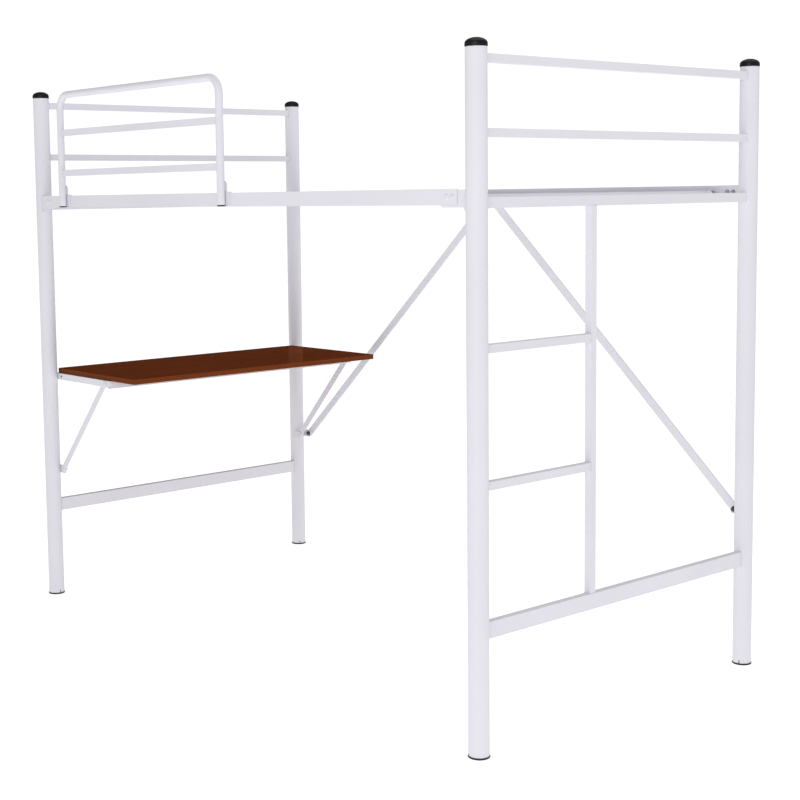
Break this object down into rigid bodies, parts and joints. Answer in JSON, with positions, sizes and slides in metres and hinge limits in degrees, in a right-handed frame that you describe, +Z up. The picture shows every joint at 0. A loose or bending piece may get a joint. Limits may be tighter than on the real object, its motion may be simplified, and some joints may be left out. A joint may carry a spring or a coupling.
{
  "type": "loft bed with desk",
  "caption": "Steel loft bed on round posts, with a ladder in one end, a lift-off guard on the open side and a fixed desk under the other end.",
  "frame": {"origin": "on the floor, below the centre of the outline", "axes": "+X along the bed from the desk end to the ladder end, +Y from the open side with the guard to the braced side, +Z up"},
  "size_m": [2.0338, 1.132, 1.6715],
  "materials": {
    "white_steel": "white powder coat, semi-gloss",
    "black_plastic": "moulded, satin",
    "brown_board": "dark brown laminate, semi-gloss",
    "grey_steel": "light grey coat, satin",
    "plated_steel": "zinc plated"
  },
  "bodies": {
    "bed_frame": {"brace_apex_bolt": "plated_steel", "brace_left": "white_steel", "brace_right": "white_steel", "brace_tab_left": "white_steel", "brace_tab_right": "white_steel", "cap_far_left": "black_plastic", "cap_far_right": "black_plastic", "cap_near_left": "black_plastic", "cap_near_right": "black_plastic", "desk_arm_far": "white_steel", "desk_arm_near": "white_steel", "desk_arm_tab_far": "white_steel", "desk_arm_tab_near": "white_steel", "desk_board": "brown_board", "desk_front_bar": "white_steel", "desk_strut_far": "white_steel", "desk_strut_near": "white_steel", "desk_strut_tab_far": "white_steel", "desk_strut_tab_near": "white_steel", "foot_far_left": "black_plastic", "foot_far_right": "black_plastic", "foot_near_left": "black_plastic", "foot_near_right": "black_plastic", "ladder_rung_lower": "white_steel", "ladder_rung_upper": "white_steel", "ladder_stile": "white_steel", "left_bed_crossbar": "white_steel", "left_lower_crossbar": "white_steel", "left_middle_rail": "white_steel", "left_top_rail": "white_steel", "mattress_base_bar_far": "grey_steel", "mattress_base_bar_near": "grey_steel", "post_far_left": "white_steel", "post_far_right": "white_steel", "post_near_left": "white_steel", "post_near_right": "white_steel", "rail_bracket_far_left": "white_steel", "rail_bracket_far_right": "white_steel", "rail_bracket_near_left": "white_steel", "rail_bracket_near_right": "white_steel", "right_bed_crossbar": "white_steel", "right_lower_crossbar": "white_steel", "right_middle_rail": "white_steel", "right_top_rail": "white_steel", "side_rail_far": "white_steel", "side_rail_near": "white_steel", "slat_1": "grey_steel", "slat_2": "grey_steel", "slat_3": "grey_steel", "slat_4": "grey_steel", "slat_5": "grey_steel", "slat_6": "grey_steel", "slat_7": "grey_steel"},
    "guard": {"guard_bar_lower": "white_steel", "guard_bar_upper": "white_steel", "guard_hook_left": "white_steel", "guard_hook_right": "white_steel", "guard_hoop": "white_steel", "guard_plug_left": "black_plastic", "guard_plug_right": "black_plastic"}
  },
  "joints": [
    {"name": "guard_lift", "type": "slide", "parent": "bed_frame", "child": "guard", "axis": [0, 0, 1], "range_m": [0, 0.05]}
  ]
}
